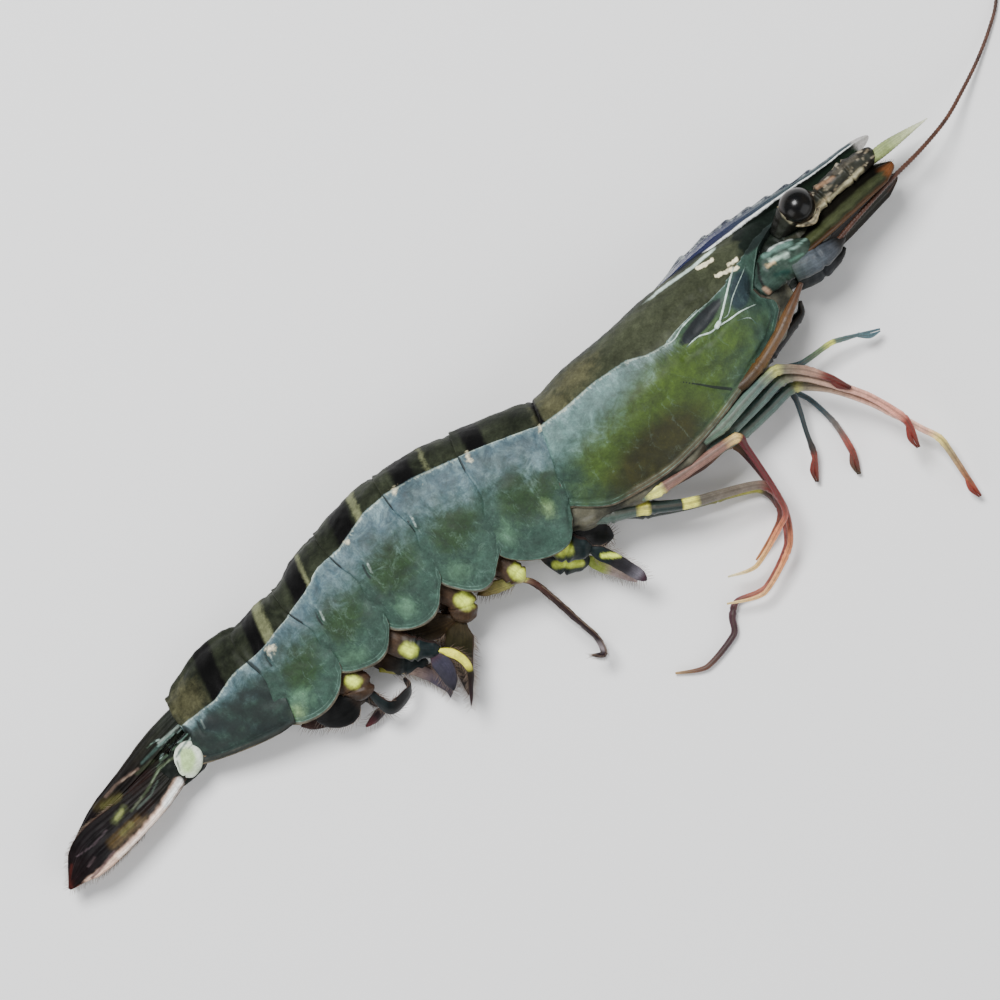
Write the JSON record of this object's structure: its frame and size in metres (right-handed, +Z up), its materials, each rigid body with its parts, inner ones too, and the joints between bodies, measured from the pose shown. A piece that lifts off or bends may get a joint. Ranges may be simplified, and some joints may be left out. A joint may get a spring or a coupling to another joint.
{
  "type": "raw tiger prawn",
  "caption": "Whole raw tiger prawn lying on its left side, with head, beak, legs, feelers, banded shell and folded tail fan.",
  "frame": {"origin": "on the surface it lies on, under the middle of the box round the whole animal", "axes": "+X from tail to head, +Y towards its back, +Z up, out of its right side"},
  "size_m": [0.2484, 0.1218, 0.0226],
  "materials": {
    "shell": "thin wet shell, blue-grey to olive green with dark bands over the back",
    "belly": "soft skin between the legs, brown and matt where dry",
    "legs": "smooth jointed legs, greenish at the root and pink to red at the tips, yellow at the joints",
    "swimming_legs": "dark fringed paddles with bright yellow spots",
    "tail": "dark ridged tail blades with yellow spots and a pale edge",
    "eyes": "black, wet and glossy",
    "head_scales": "olive blades and jointed stems with dark stripes",
    "feelers": "brown ringed whips"
  },
  "bodies": {
    "root": {"carapace": "shell", "chest": "belly", "head_front": "belly", "abdomen_6": "shell", "abdomen_5": "shell", "abdomen_4": "shell", "abdomen_3": "shell", "abdomen_2": "shell", "abdomen_1": "shell", "maxilliped_right": "legs", "maxilliped_left": "legs", "pereiopod_1_right": "legs", "pereiopod_1_left": "legs", "pereiopod_2_right": "legs", "pereiopod_2_left": "legs", "pereiopod_3_right": "legs", "pereiopod_3_left": "legs", "pereiopod_4_right": "legs", "pereiopod_4_left": "legs", "pereiopod_5_right": "legs", "pereiopod_5_left": "legs", "swimmeret_1_right": "swimming_legs", "swimmeret_1_left": "swimming_legs", "swimmeret_2_right": "swimming_legs", "swimmeret_2_left": "swimming_legs", "swimmeret_3_right": "swimming_legs", "swimmeret_3_left": "swimming_legs", "swimmeret_4_right": "swimming_legs", "swimmeret_4_left": "swimming_legs", "swimmeret_5_right": "swimming_legs", "swimmeret_5_left": "swimming_legs", "telson": "tail", "tail_fan_right": "tail", "tail_fan_left": "tail", "eye_right": "eyes", "antennule_right": "head_scales", "antennal_scale_right": "head_scales", "antenna_right": "feelers", "eye_left": "eyes", "antennule_left": "head_scales", "antennal_scale_left": "head_scales", "antenna_left": "feelers"}
  },
  "joints": []
}
